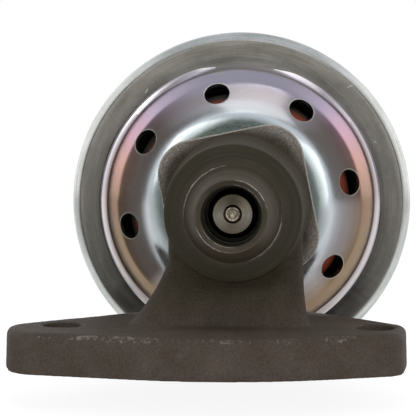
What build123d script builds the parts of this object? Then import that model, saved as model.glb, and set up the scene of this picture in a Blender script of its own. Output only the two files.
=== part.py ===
from build123d import *

import os
from math import atan2, cos, degrees, radians, sin, tan

# Vacuum-operated exhaust gas recirculation valve. A cast-iron body bolts to the manifold by a
# two-hole flange. Exhaust enters through the nose of the boss, passes a tapered pintle on its
# seat, and leaves down the column through the port in the flange. A sprung diaphragm in a crimped
# steel housing lifts the pintle when vacuum is applied to the nipple.
#
# Frame: the origin is the centre of the two mounting bolts, on the mounting face. +Z is up, away
# from the manifold. The stem lies along Y, the inlet points to -Y and the diaphragm is at +Y.
# Millimetres. A "depth" is a distance from the inlet's end face along the stem, towards +Y.

# --- driving dimensions: mounting flange -----------------------------------------------------
bolt_spacing = 66.7  # 2 5/8 in between the mounting bolts
bolt_hole_r = 4.1  # clearance for an 8 mm stud
flange_t = 8.7
flange_edge_r = 1.6  # cast round on the upper edge
flange_draft = 2.0  # degrees, so that the casting leaves its mould
ear_left = 13.0  # flange corner beyond the left bolt
ear_right = 7.3  # the right ear is cut short
ear_left_reach = 12.3  # ahead of the bolt line, where the front edge begins
ear_left_cut = 4.0  # the ear narrows by this much towards the front
ear_left_behind = 0.5
ear_left_r = 8.0
ear_right_reach = 10.1
ear_right_cut = 2.1
ear_right_behind = 3.9
ear_right_r = 5.5
flange_front = 22.4  # corner of the front edge, ahead of the bolt line
flange_front_shift = 1.0  # the corner stands to the right of the stem
flange_front_r = 75.0  # the front edge is one shallow curve
flange_back = 26.3  # back edge, behind the bolt line
flange_back_shift = -1.0
flange_back_w = 37.0
flange_back_r = 8.0
port_r = 7.5  # gas port in the mounting face
port_depth = 6.5  # machined mouth of the port
passage_r = 5.5  # cored passage from the port up to the chamber
passage_gap = 0.5  # it rises this far ahead of the chamber's end wall

# --- driving dimensions: stem axis, boss and column -------------------------------------------
axis_x = 3.4  # the stem stands to one side of the bolt centre
axis_z = 33.0  # height of the stem over the mounting face
inlet_ahead = 14.7  # inlet end face, ahead of the bolt line
bore_r = 6.16  # inlet bore, where the exhaust tube's pilot goes
bore_depth = 7.0
throat_step = 0.3  # the bore narrows by this much behind the pilot
mouth_chamfer = 1.27
nose_base_r = 10.2  # the nose tapers from its mouth back to this
nose_len = 8.0
shoulder_r = 14.5
shoulder_fall = 1.4  # the shoulder leans back a little towards its edge
shoulder_edge_r = 0.5
boss_waist_r = 15.2  # the boss spreads from its shoulder to the pad
boss_waist_depth = 25.0
boss_end_r = 16.1
boss_flare_r = 14.0
column_w = 29.1
column_front_depth = 17.0
column_back_gap = 2.0  # the column's back stands this far ahead of the pad's joint face
column_corner_r = 5.0
foot_h = 15.0  # the column's foot spreads over this height
foot_left = 9.3
foot_right = 1.3
foot_front = 5.6
foot_back = 0.6
foot_curve_h = 0.42  # share of the foot's height where its curve is set
foot_curve_spread = 0.45  # share of the spread that is left there

# --- driving dimensions: pad for the diaphragm housing ----------------------------------------
pad_half = 16.6
pad_corner_r = 7.8
pad_land = 1.3  # straight rim beside the joint face
pad_slope_in = 2.4  # ahead of the rim the pad slopes in by this much
pad_turn = 11.4  # degrees, the pad and the vent holes are turned together
pad_depth = 33.0
pad_t = 6.0
screw_half_pitch = 10.2
screw_r = 2.0
screw_len = 4.6
screw_head_r = 3.4
screw_head_t = 1.8
screw_socket_r = 1.85
screw_socket_floor = 0.7
screw_tip_gap = 0.2
screw_clearance = 0.15
lock_washer_r = 3.7
lock_washer_t = 0.6
gasket_t = 0.8
gasket_proud = 0.3  # the gasket shows all round the pad

# --- driving dimensions: gas chamber, seat and pintle -----------------------------------------
chamber_r = 11.0
chamber_depth = 15.0
guide_bore_r = 7.5  # every inner part goes in through this bore, from the pad side
seat_r = 7.2
seat_t = 4.0
seat_land = 1.5  # plain throat ahead of the conical seat
seat_gap = 0.05
nose_gap = 0.8  # pintle face behind the end of the pilot bore
pintle_nose_r = 4.13
pintle_r = 6.6
pintle_half_angle = 13.2
pintle_collar = 1.5
peen_proud = 0.3
peen_round = 0.35
peen_groove = 0.25

# --- driving dimensions: stem and what it carries ---------------------------------------------
stem_r = 3.0
stem_nose_r = 1.7
stem_top_r = 2.4
running_gap = 0.05
press_gap = 0.01
deflector_r = 6.9
deflector_h = 2.5
deflector_t = 1.0
guide_len = 5.0
seal_len = 2.2
retainer_t = 0.9
retainer_gap = 0.6
retainer_inset = 0.4  # below the pad's joint face
collar_r = 7.0
collar_t = 1.0
plate_t = 1.0
lower_plate_r = 21.5
lower_plate_lip = 0.9
lower_plate_lip_w = 3.0
head_clearance = 0.8  # lower plate over the screw heads
stem_washer_r = 6.0
stem_washer_t = 1.0
rivet_r = 3.6
rivet_t = 1.4
lift = 6.0  # travel of the valve from closed to fully open
stop_gap = 0.3

# --- driving dimensions: diaphragm housing ----------------------------------------------------
shell_t = 1.0
shell_hole_r = 8.2
dish_flat_r = 21.0
dish_slope = 38.0  # degrees, the vented cone
dish_cone_r = 28.9
dish_bend_r = 8.0  # the flat bottom turns slowly into the cone
dish_curb_slope = 54.0  # degrees, the band between the cone and the upright wall
dish_cone_bend_r = 4.0
dish_depth = 12.9  # outer face of the flat bottom to the front of the rim flange
dish_wall_r = 31.05
dish_wall_lean = 0.3
dish_wall_bend_r = 1.2
vent_count = 8
vent_ring_r = 25.7
vent_r = 2.95
rim_r = 40.2
cover_t = 1.0
lip_r = 33.0  # raw edge of the crimped lip
crimp_bend_r = 1.5
crimp_side_gap = 0.1  # dish rim inside the round of the crimp
cover_wall_r = 31.9
cover_wall_bend_r = 1.2
cover_shoulder_r = 29.5
cover_shoulder_h = 9.2
cover_shoulder_bend_r = 4.0
cover_step_rise = 3.0
spring_cup_r = 17.8
spring_cup_lean = 0.8
spring_cup_h = 7.9
spring_cup_bend_r = 2.6
diaphragm_t = 1.2
diaphragm_wall_r = 25.0
diaphragm_wall_bend_r = 1.8
roll_rise = 4.8  # the rolling wall reaches this far behind the clamped rim
roll_w = 4.5
roll_lean = 0.4
roll_bend_r = 1.4
roll_foot_bend_r = 0.9
diaphragm_edge_gap = 0.4
piston_gap = 0.3
piston_bend_r = 1.6
nipple_r = 2.4
nipple_bore_r = 1.5
nipple_len = 13.5
nipple_inside = 1.2
nipple_collar_r = 4.0
nipple_collar_t = 1.0
nipple_chamfer = 0.4

# --- driving dimensions: return spring --------------------------------------------------------
spring_r = 13.5
spring_wire_r = 1.1
spring_turns = 5.0
spring_tip_t = 0.6  # what grinding leaves of the wire at its tips

overcut = 1.0  # how far a cutter runs past the face it opens

# --- places along the stem, worked out from the sizes above -----------------------------------
stem_line = Pos(axis_x, -inlet_ahead, axis_z)
pad_back = pad_depth + pad_t
retainer_end = pad_back - retainer_inset
seal_end = retainer_end - retainer_t
guide_end = seal_end - seal_len
chamber_end = guide_end - guide_len
seat_front = chamber_depth - seat_t
seat_cone_start = seat_front + seat_land
pintle_front = bore_depth + nose_gap
pintle_cone_end = pintle_front + (pintle_r - pintle_nose_r) / tan(radians(pintle_half_angle))
pintle_back = pintle_cone_end + pintle_collar
deflector_back = pintle_back + deflector_t
shell_front = pad_back + gasket_t
shell_inside = shell_front + shell_t
head_front = shell_inside + lock_washer_t
head_back = head_front + screw_head_t
plate_front = head_back + head_clearance
collar_front = plate_front - collar_t
diaphragm_front = plate_front + plate_t
diaphragm_back = diaphragm_front + diaphragm_t
piston_back = diaphragm_back + plate_t
stem_washer_back = piston_back + stem_washer_t
rivet_back = stem_washer_back + rivet_t
rim_front = shell_front + dish_depth
rim_back = rim_front + shell_t
cover_front = rim_back + diaphragm_t
cover_shoulder_depth = cover_front + cover_shoulder_h
cover_step_depth = cover_shoulder_depth + cover_step_rise
cover_top = cover_step_depth + spring_cup_h
cover_back = cover_top + cover_t
crimp_seat_r = rim_r - cover_t / 2 - crimp_bend_r
shell_rim_r = crimp_seat_r - crimp_side_gap
diaphragm_rim_r = crimp_seat_r - diaphragm_edge_gap
screw_pitch_r = screw_half_pitch * 2**0.5


# --- helpers ------------------------------------------------------------------------------------
def on_stem(shape):
    """Move a shape that was made about the Y axis to the stem line."""
    return stem_line * shape


def turned(*profile):
    """Turn a closed (radius, depth) profile about the stem."""
    return on_stem(revolve(make_face(Polyline(*profile, close=True)), Axis.Y))


def pressed(thickness, bends, *middle_line):
    """Turn a sheet of even thickness whose middle line runs through (radius, depth) points."""
    line = FilletPolyline(*middle_line, radius=bends)
    return on_stem(revolve(trace(line, thickness), Axis.Y))


def ring(inner_r, outer_r, front, back):
    """A plain ring about the stem, from one depth to another."""
    return turned((inner_r, front), (outer_r, front), (outer_r, back), (inner_r, back))


def plug(radius, front, back):
    """A plain cylinder about the stem, from one depth to another."""
    return on_stem(Pos(0, front, 0) * extrude(Plane.XZ * Circle(radius), -(back - front)))


def turned_about_stem(shape, angle):
    """Copy a shape made at +X of the Y axis round to an angle, measured from +X to +Z."""
    return on_stem(Rot(0, -angle, 0) * shape)


def screw_places():
    """Angles of the four pad screws, which stand on the pad's diagonals."""
    return [pad_turn + 45 + 90 * i for i in range(4)]


def at_screws(radius, front, back):
    """Four equal cylinders on the pad screws' axes."""
    rod = extrude(Plane.XZ * Circle(radius), -(back - front))
    rods = [turned_about_stem(Pos(screw_pitch_r, front, 0) * rod, a) for a in screw_places()]
    return Part() + rods


def screw_holes(front, back):
    """Cutter for the pad screws' clearance holes in a sheet."""
    return at_screws(screw_r + screw_clearance, front - overcut, back + overcut)


def pad_plate(half_width, corner_r, front, back):
    """A rounded square plate about the stem, turned with the pad."""
    outline = Plane.XZ * RectangleRounded(2 * half_width, 2 * half_width, corner_r)
    plate = Pos(0, front, 0) * extrude(outline, -(back - front))
    return on_stem(Rot(0, -pad_turn, 0) * plate)


def save(name, shape):
    """Write one node's STEP file."""
    export_step(shape, f"parts/{name}.step")


# --- casting ------------------------------------------------------------------------------------
def flange():
    """Two-bolt flange with a shallow curved front, one long ear and one short one."""
    half = bolt_spacing / 2
    left, right = -half - ear_left, half + ear_right
    back_middle = axis_x + flange_back_shift
    corners = (
        (axis_x + flange_front_shift, -flange_front),
        (right - ear_right_cut, -ear_right_reach),
        (right, ear_right_behind),
        (back_middle + flange_back_w / 2, flange_back),
        (back_middle - flange_back_w / 2, flange_back),
        (left, ear_left_behind),
        (left + ear_left_cut, -ear_left_reach),
    )
    rounds = (
        flange_front_r,
        ear_right_r,
        ear_right_r,
        flange_back_r,
        flange_back_r,
        ear_left_r,
        ear_left_r,
    )
    outline = make_face(FilletPolyline(*corners, radius=rounds, close=True))
    plate = extrude(outline, flange_t, taper=flange_draft)
    return fillet(plate.faces().sort_by(Axis.Z)[-1].edges(), flange_edge_r)


def column():
    """Gas column between the flange and the boss, spread at its foot."""
    front = column_front_depth - inlet_ahead
    back = pad_back - column_back_gap - inlet_ahead

    def section(z, spread):
        left, right = foot_left * spread, foot_right * spread
        ahead, behind = foot_front * spread, foot_back * spread
        centre = Pos(axis_x + (right - left) / 2, (front + back + behind - ahead) / 2, z)
        return centre * RectangleRounded(
            column_w + left + right, back - front + ahead + behind, column_corner_r
        )

    foot = flange_t - flange_edge_r
    slim = section(foot + foot_h, 0)
    flare = [section(foot, 1), section(foot + foot_h * foot_curve_h, foot_curve_spread), slim]
    return loft(flare) + extrude(slim, axis_z - foot - foot_h)


def boss():
    """Tapered nose, shoulder and spreading barrel, turned about the stem."""
    mouth_r = bore_r + mouth_chamfer
    shoulder_edge = nose_len + shoulder_fall
    outline = FilletPolyline(
        (0, 0),
        (mouth_r, 0),
        (nose_base_r, nose_len),
        (shoulder_r, shoulder_edge),
        (boss_waist_r, boss_waist_depth),
        (boss_end_r, pad_depth),
        (boss_end_r, pad_back - pad_land),
        (0, pad_back - pad_land),
        radius=(0, 0, 0, shoulder_edge_r, boss_flare_r, 0, 0, 0),
        close=True,
    )
    return on_stem(revolve(make_face(outline), Axis.Y))


def gas_way():
    """Inlet bore, chamber, guide bore and the passage down to the port."""
    throat_r = bore_r - throat_step
    upward = (Align.CENTER, Align.CENTER, Align.MIN)
    port = Cylinder(port_r, port_depth, align=upward)
    passage = Cylinder(passage_r, axis_z, align=upward)
    under_chamber = Pos(axis_x, chamber_end - passage_gap - passage_r - inlet_ahead, 0)
    mouth = turned((0, 0), (bore_r + mouth_chamfer, 0), (bore_r, mouth_chamfer), (0, mouth_chamfer))
    return (
        mouth
        + plug(bore_r, 0, bore_depth)
        + plug(throat_r, 0, seat_front)
        + plug(seat_r, seat_front, chamber_depth)
        + plug(chamber_r, chamber_depth, chamber_end)
        + plug(guide_bore_r, chamber_end, pad_back)
        + under_chamber * (port + passage)
    )


def pad():
    """Rounded square pad with a straight rim, sloping in towards the boss."""
    rim = pad_back - pad_land
    slope_len = pad_t - pad_land
    outline = Plane.XZ * RectangleRounded(2 * pad_half, 2 * pad_half, pad_corner_r)
    slope = extrude(outline, slope_len, taper=degrees(atan2(pad_slope_in, slope_len)))
    sloped = on_stem(Rot(0, -pad_turn, 0) * (Pos(0, rim, 0) * slope))
    return sloped + pad_plate(pad_half, pad_corner_r, rim, pad_back)


def valve_body():
    """The iron casting, machined."""
    drill = Cylinder(bolt_hole_r, 3 * flange_t)
    holes = [Pos(side * bolt_spacing / 2, 0, 0) * drill for side in (-1, 1)]
    tapped = at_screws(screw_r + press_gap, pad_back - screw_len, pad_back)
    return flange() + column() + boss() + pad() - gas_way() - tapped - holes


def valve_seat():
    """Hard seat ring, pressed in from the chamber. Its cone matches the pintle's."""
    slope = tan(radians(pintle_half_angle))
    front_r = pintle_nose_r + (seat_cone_start - pintle_front) * slope + seat_gap
    back_r = pintle_nose_r + (chamber_depth - pintle_front) * slope + seat_gap
    outer_r = seat_r - press_gap
    return turned(
        (front_r, seat_front),
        (outer_r, seat_front),
        (outer_r, chamber_depth),
        (back_r, chamber_depth),
        (front_r, seat_cone_start),
    )


# --- stem and what moves with it --------------------------------------------------------------
def pintle():
    """Tapered pintle, held on the stem's nose by peening."""
    hole_r = stem_nose_r + press_gap
    return turned(
        (hole_r, pintle_front + peen_groove),
        (hole_r + peen_groove, pintle_front),
        (pintle_nose_r, pintle_front),
        (pintle_r, pintle_cone_end),
        (pintle_r, pintle_back),
        (hole_r, pintle_back),
    )


def valve_stem():
    """Stem with a peened nose, a bearing length and a riveted top."""
    tip = pintle_front - peen_proud
    return turned(
        (0, tip),
        (stem_nose_r - peen_round, tip),
        (stem_nose_r, tip + peen_round),
        (stem_nose_r, deflector_back),
        (stem_r, deflector_back),
        (stem_r, collar_front),
        (stem_top_r, collar_front),
        (stem_top_r, stem_washer_back),
        (rivet_r, stem_washer_back),
        (rivet_r, stem_washer_back + rivet_t / 2),
        (rivet_r - rivet_t / 2, rivet_back),
        (0, rivet_back),
    )


def gas_deflector():
    """Small cup that keeps hot gas off the guide."""
    hole_r = stem_nose_r + press_gap
    wall_r = deflector_r - deflector_t
    return turned(
        (hole_r, pintle_back),
        (deflector_r, pintle_back),
        (deflector_r, pintle_back + deflector_h),
        (wall_r, pintle_back + deflector_h),
        (wall_r, deflector_back),
        (hole_r, deflector_back),
    )


def lower_plate():
    """Plate under the diaphragm, with its edge turned away from the rubber."""
    middle = plate_front + plate_t / 2
    return pressed(
        plate_t,
        (plate_t,),
        (stem_top_r + press_gap, middle),
        (lower_plate_r - lower_plate_lip_w, middle),
        (lower_plate_r, middle - lower_plate_lip),
    )


def piston_cup():
    """Cup over the diaphragm. It carries the spring, and its rim is the lift stop."""
    middle = diaphragm_back + plate_t / 2
    wall_r = diaphragm_wall_r - diaphragm_t / 2 - piston_gap - plate_t / 2
    step_slope = cover_step_rise / (cover_shoulder_r - spring_cup_r - spring_cup_lean)
    step_middle = cover_shoulder_depth + cover_t / 2 + (cover_shoulder_r - wall_r) * step_slope
    half_sheet = cover_t / 2 * (1 + step_slope**2) ** 0.5
    rim = step_middle - half_sheet - stop_gap - lift
    return pressed(
        plate_t,
        (piston_bend_r,),
        (stem_top_r + press_gap, middle),
        (wall_r, middle),
        (wall_r, rim),
    )


# --- diaphragm housing ------------------------------------------------------------------------
def vent(angle):
    """Cutter for one vent hole, square to the cone it is punched in."""
    slope = radians(dish_slope)
    depth = shell_front + shell_t / 2 + (vent_ring_r - dish_flat_r) * tan(slope)
    place = Plane(origin=(vent_ring_r, depth, 0), z_dir=(sin(slope), -cos(slope), 0))
    return turned_about_stem(place * Cylinder(vent_r, 4 * shell_t), angle)


def lower_shell():
    """Vented dish that joins the pad to the diaphragm's rim."""
    bottom = shell_front + shell_t / 2
    flange_middle = rim_front + shell_t / 2
    cone_end = bottom + (dish_cone_r - dish_flat_r) * tan(radians(dish_slope))
    curb_end = cone_end + (dish_wall_r - dish_cone_r) * tan(radians(dish_curb_slope))
    dish = pressed(
        shell_t,
        (dish_bend_r, dish_cone_bend_r, dish_wall_bend_r, dish_wall_bend_r),
        (shell_hole_r, bottom),
        (dish_flat_r, bottom),
        (dish_cone_r, cone_end),
        (dish_wall_r, curb_end),
        (dish_wall_r + dish_wall_lean, flange_middle),
        (shell_rim_r, flange_middle),
    )
    vents = [vent(pad_turn + 360 / vent_count * i) for i in range(vent_count)]
    return dish - vents - screw_holes(shell_front, shell_inside)


def diaphragm():
    """Fabric-rubber diaphragm: flat centre, rolling wall and clamped rim."""
    flat = diaphragm_front + diaphragm_t / 2
    clamp = rim_back + diaphragm_t / 2
    top = clamp + roll_rise
    inner, outer = diaphragm_wall_r + roll_lean, diaphragm_wall_r + roll_w
    return pressed(
        diaphragm_t,
        (diaphragm_wall_bend_r, roll_bend_r, roll_bend_r, roll_foot_bend_r),
        (stem_top_r + press_gap, flat),
        (diaphragm_wall_r, flat),
        (inner, top),
        (outer, top),
        (outer + roll_lean, clamp),
        (diaphragm_rim_r, clamp),
    )


def upper_cover():
    """Vacuum cover: spring cup, shoulder, flange and the lip that is crimped over the dish."""
    flange_middle = cover_front + cover_t / 2
    lip_middle = rim_front - cover_t / 2
    fold_r = rim_r - cover_t / 2
    top = cover_top + cover_t / 2
    return pressed(
        cover_t,
        (
            spring_cup_bend_r,
            spring_cup_bend_r,
            cover_shoulder_bend_r,
            cover_wall_bend_r,
            crimp_bend_r,
            crimp_bend_r,
        ),
        (nipple_r + press_gap, top),
        (spring_cup_r, top),
        (spring_cup_r + spring_cup_lean, cover_step_depth + cover_t / 2),
        (cover_shoulder_r, cover_shoulder_depth + cover_t / 2),
        (cover_wall_r, flange_middle),
        (fold_r, flange_middle),
        (fold_r, lip_middle),
        (lip_r, lip_middle),
    )


def vacuum_nipple():
    """Tube for the vacuum hose, brazed into the cover."""
    inside = cover_top - nipple_inside
    collar_back = cover_back + nipple_collar_t
    end = cover_back + nipple_len
    return turned(
        (nipple_bore_r, inside),
        (nipple_r, inside),
        (nipple_r, cover_back),
        (nipple_collar_r, cover_back),
        (nipple_collar_r, collar_back),
        (nipple_r, collar_back),
        (nipple_r, end - nipple_chamfer),
        (nipple_r - nipple_chamfer, end),
        (nipple_bore_r, end),
    )


def return_spring():
    """Coil spring with ground ends, between the piston cup and the cover."""
    length = cover_top - piston_back
    ground = spring_wire_r - spring_tip_t
    path = Helix(length / spring_turns, length + 2 * ground, spring_r)
    section = Plane(origin=path @ 0, z_dir=path % 0) * Circle(spring_wire_r)
    coil = Pos(0, 0, -ground) * sweep(section, path=path, is_frenet=True)
    slab = Cylinder(
        spring_r + 3 * spring_wire_r, length, align=(Align.CENTER, Align.CENTER, Align.MIN)
    )
    return on_stem(Pos(0, piston_back, 0) * Rot(-90, 0, 0) * (coil & slab))


# --- small parts --------------------------------------------------------------------------------
def body_gasket():
    """Heat-insulating gasket between the pad and the dish."""
    sheet = pad_plate(pad_half + gasket_proud, pad_corner_r + gasket_proud, pad_back, shell_front)
    hole = plug(shell_hole_r, pad_back - overcut, shell_front + overcut)
    return sheet - hole - screw_holes(pad_back, shell_front)


def shell_screws():
    """Four low-headed hexagon socket screws that hold the dish to the pad."""
    shanks = at_screws(screw_r, pad_back - screw_len + screw_tip_gap, head_front)
    heads = at_screws(screw_head_r, head_front, head_back)
    socket = extrude(Plane.XZ * RegularPolygon(screw_socket_r, 6), -screw_head_t)
    floor = Pos(screw_pitch_r, head_front + screw_socket_floor, 0)
    sockets = [turned_about_stem(floor * socket, a) for a in screw_places()]
    return shanks + heads - sockets


def lock_washers():
    """Four washers under the screw heads."""
    return at_screws(lock_washer_r, shell_inside, head_front) - screw_holes(shell_inside, head_front)


def build():
    """Every node of the valve, by name."""
    bearing_r = stem_r + running_gap
    bore_fit_r = guide_bore_r - press_gap
    top_r = stem_top_r + press_gap
    return {
        "valve_body": valve_body(),
        "valve_seat": valve_seat(),
        "pintle": pintle(),
        "valve_stem": valve_stem(),
        "gas_deflector": gas_deflector(),
        "stem_guide": ring(bearing_r, bore_fit_r, chamber_end, guide_end),
        "stem_seal": ring(bearing_r, bore_fit_r, guide_end, seal_end),
        "seal_retainer": ring(bearing_r + retainer_gap, bore_fit_r, seal_end, retainer_end),
        "body_gasket": body_gasket(),
        "lower_shell": lower_shell(),
        "shell_screws": shell_screws(),
        "lock_washers": lock_washers(),
        "stem_collar": ring(top_r, collar_r, collar_front, plate_front),
        "lower_plate": lower_plate(),
        "diaphragm": diaphragm(),
        "piston_cup": piston_cup(),
        "stem_washer": ring(top_r, stem_washer_r, piston_back, stem_washer_back),
        "return_spring": return_spring(),
        "upper_cover": upper_cover(),
        "vacuum_nipple": vacuum_nipple(),
    }


os.makedirs("parts", exist_ok=True)
for node, solid in build().items():
    save(node, solid)
    print(f"{node}: {solid.volume:.1f} mm3")
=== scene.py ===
# %% [markdown]
# # Dressing a vacuum-operated exhaust gas valve
# The valve is a handful of finishes side by side: dark sand-cast iron, turned steel, pressed steel
# with a rainbow of zinc chromate, plain rolled steel and orange rubber behind the vent holes. The
# solid model gives every size. These cells load it as a fixed frame and then make each visible
# surface in turn.

# %% Load the fixed frame
import math

import bmesh
import bpy
import numpy as np
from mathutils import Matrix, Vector, noise
from mathutils.bvhtree import BVHTree


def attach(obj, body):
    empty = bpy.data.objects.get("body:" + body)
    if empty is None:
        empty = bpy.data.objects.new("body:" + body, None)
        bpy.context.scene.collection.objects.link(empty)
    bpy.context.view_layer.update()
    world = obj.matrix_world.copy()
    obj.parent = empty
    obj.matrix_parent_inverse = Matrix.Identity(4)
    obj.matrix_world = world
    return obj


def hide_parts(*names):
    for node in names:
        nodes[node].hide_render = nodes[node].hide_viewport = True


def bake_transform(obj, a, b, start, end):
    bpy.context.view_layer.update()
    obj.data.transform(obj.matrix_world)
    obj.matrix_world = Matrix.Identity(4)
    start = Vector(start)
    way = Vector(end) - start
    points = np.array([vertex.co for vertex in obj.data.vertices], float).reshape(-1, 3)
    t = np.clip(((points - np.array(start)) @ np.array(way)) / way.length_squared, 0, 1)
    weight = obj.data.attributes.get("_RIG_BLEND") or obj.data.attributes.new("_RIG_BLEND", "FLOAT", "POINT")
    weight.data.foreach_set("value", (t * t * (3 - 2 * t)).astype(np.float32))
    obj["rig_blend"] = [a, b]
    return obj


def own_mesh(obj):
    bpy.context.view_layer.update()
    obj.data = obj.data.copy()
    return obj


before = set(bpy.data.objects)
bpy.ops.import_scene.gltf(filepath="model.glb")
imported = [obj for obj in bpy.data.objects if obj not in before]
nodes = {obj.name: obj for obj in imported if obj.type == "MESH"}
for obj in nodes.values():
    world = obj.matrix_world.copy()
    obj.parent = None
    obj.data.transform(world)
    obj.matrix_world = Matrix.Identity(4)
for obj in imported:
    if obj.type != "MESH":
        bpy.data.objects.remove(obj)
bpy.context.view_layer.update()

# %% [markdown]
# ## The stem line
# Nearly every part of the valve is turned about one line, the stem. So places are given the way a
# lathe hand gives them: a radius from the stem, and a depth from the inlet's end face, both in
# millimetres.

# %% Places about the stem
MM = 0.001
STEM_X, STEM_Z = 3.4, 33.0
INLET_Y = -14.7


def on_stem(radius, depth, angle):
    """A point in metres, from a radius and a depth in millimetres and an angle about the stem."""
    return Vector(
        (
            (STEM_X + radius * math.cos(angle)) * MM,
            (INLET_Y + depth) * MM,
            (STEM_Z + radius * math.sin(angle)) * MM,
        )
    )


print("stem passes", on_stem(0, 0, 0))

# %% [markdown]
# ## The camera
# A catalogue picture of a small part is taken from close by with a long lens, so that the inlet,
# the vented dish and the rim all stay round but the near nose is drawn larger than the rim behind
# it.

# %% Camera


def new_object(name, data):
    """An object that carries this data, linked into the scene."""
    item = bpy.data.objects.new(name, data)
    bpy.context.scene.collection.objects.link(item)
    return item


CAMERA_PLACE = Vector((15.98, -313.81, 53.00)) * MM
CAMERA_LOOK = Vector((-0.05746, 0.99650, -0.06083))
camera_data = bpy.data.cameras.new("catalogue_camera")
camera_data.sensor_width = 36.0
camera_data.lens = 128.4
camera_data.clip_start, camera_data.clip_end = 0.01, 10.0
camera = new_object("catalogue_camera", camera_data)
camera.location = CAMERA_PLACE
camera.rotation_mode = "QUATERNION"
camera.rotation_quaternion = CAMERA_LOOK.to_track_quat("-Z", "Y")
bpy.context.scene.camera = camera
bpy.context.scene.view_settings.view_transform = "Standard"
print("camera is", round((CAMERA_PLACE - on_stem(0, 0, 0)).length / MM), "mm from the inlet")

# %% [markdown]
# ## Rounding and thickening a profile
# A pressed or turned part is one outline spun about the stem. Corners are rounded first, because
# no real sheet bends round a point, and long runs are divided so that dents and waves have
# vertices to move. A sheet's two faces are drawn off from its middle line, so that they bend
# alike.

# %% Profile helpers


def rounded(corners, radii, turn_step=math.radians(9)):
    """A line through (radius, depth) corners, with the inner corners turned into arcs."""
    corners = [Vector(c) for c in corners]
    points = [corners[0]]
    for before, corner, after, arc in zip(corners, corners[1:], corners[2:], radii):
        back, on = (before - corner).normalized(), (after - corner).normalized()
        half = back.angle(on) / 2
        centre = corner + (back + on).normalized() * (arc / math.sin(half))
        spoke = corner + back * (arc / math.tan(half)) - centre
        sweep = back.angle_signed(on)
        sweep = (math.pi - abs(sweep)) * (1 if sweep > 0 else -1)
        steps = max(2, math.ceil(abs(sweep) / turn_step))
        for i in range(steps + 1):
            a = sweep * i / steps
            c, s = math.cos(a), math.sin(a)
            points.append(centre + Vector((spoke.x * c - spoke.y * s, spoke.x * s + spoke.y * c)))
    return points + [corners[-1]]


def divided(line, spacing):
    """The same line with points no further apart than the spacing."""
    points = []
    for a, b in zip(line, line[1:]):
        count = max(1, math.ceil((b - a).length / spacing))
        points += [a.lerp(b, i / count) for i in range(count)]
    return points + [line[-1]]


def sheet(middle, thickness):
    """The closed outline of a sheet of even thickness about a middle line."""
    sides = ([], [])
    for i, point in enumerate(middle):
        before, after = middle[max(i - 1, 0)], middle[min(i + 1, len(middle) - 1)]
        along = ((after - point).normalized() + (point - before).normalized()).normalized()
        across = Vector((-along.y, along.x)) * (thickness / 2)
        sides[0].append(point + across)
        sides[1].append(point - across)
    return sides[0] + sides[1][::-1]


print("points on a rounded corner:", len(rounded([(0, 0), (5, 0), (5, 5)], (1.0,))) - 2)

# %% [markdown]
# ## Spinning the outline
# The Screw modifier could spin an outline too. Here the rings are written out, so that it stays in
# millimetres from the stem. A pressing is then bent by reading its points as radius, depth and
# angle, changing those, and putting them back.

# %% Turning helper


def turn(name, outline, steps, closed=True):
    """Spin a (radius, depth) outline about the stem. Points on the stem are merged."""
    rings = [
        [on_stem(p[0], p[1], 2 * math.pi * k / steps) for p in outline] for k in range(steps)
    ]
    count = len(outline)
    spans = range(count if closed else count - 1)
    faces = [
        (k * count + i, k * count + (i + 1) % count, n * count + (i + 1) % count, n * count + i)
        for k in range(steps)
        for n in [(k + 1) % steps]
        for i in spans
    ]
    mesh = bpy.data.meshes.new(name)
    mesh.from_pydata([v for ring in rings for v in ring], [], faces)
    shape = bmesh.new()
    shape.from_mesh(mesh)
    bmesh.ops.remove_doubles(shape, verts=shape.verts, dist=1e-6)
    bmesh.ops.recalc_face_normals(shape, faces=shape.faces)
    shape.to_mesh(mesh)
    shape.free()
    return new_object(name, mesh)


print("a turn starts at +X and goes towards +Z")

# %% Mesh helpers


def roll_edges(piece, name, width):
    """Round every edge sharper than 50 degrees, to a width in mm."""
    edge = piece.modifiers.new(name, "BEVEL")
    edge.width, edge.segments, edge.limit_method = width * MM, 3, "ANGLE"
    edge.angle_limit = math.radians(50)


def settle(piece):
    """Apply a piece's modifiers, so that what follows works on the final mesh."""
    graph = bpy.context.evaluated_depsgraph_get()
    mesh = bpy.data.meshes.new_from_object(piece.evaluated_get(graph))
    piece.modifiers.clear()
    piece.data = mesh


def smooth(piece, angle=30):
    """Smooth shading that keeps edges sharper than the angle."""
    piece.data.polygons.foreach_set("use_smooth", [True] * len(piece.data.polygons))
    piece.data.set_sharp_from_angle(angle=math.radians(angle))


def polar(mesh):
    """Each vertex's radius, depth and angle about the stem, in mm and radians, as arrays."""
    place = np.empty(len(mesh.vertices) * 3)
    mesh.vertices.foreach_get("co", place)
    place = place.reshape(-1, 3) / MM
    x, z = place[:, 0] - STEM_X, place[:, 2] - STEM_Z
    return np.hypot(x, z), place[:, 1] - INLET_Y, np.arctan2(z, x)


def put(mesh, radius, depth, angle):
    """Move the vertices to these places about the stem."""
    place = np.stack(
        (
            (STEM_X + radius * np.cos(angle)) * MM,
            (INLET_Y + depth) * MM,
            (STEM_Z + radius * np.sin(angle)) * MM,
        ),
        axis=1,
    )
    mesh.vertices.foreach_set("co", place.ravel())
    mesh.update()


print("edges sharper than 30 degrees stay sharp in the shading")

# %% [markdown]
# ## The vented dish
# The front half of the diaphragm housing is a steel pressing: a flat bottom on the pad, a cone
# with eight punched breather holes, a steeper curb, a short wall with a bead, and a rim. A cage
# under a subdivision surface could follow the bends, but a rounded profile gives each bend its own
# real radius.

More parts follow.
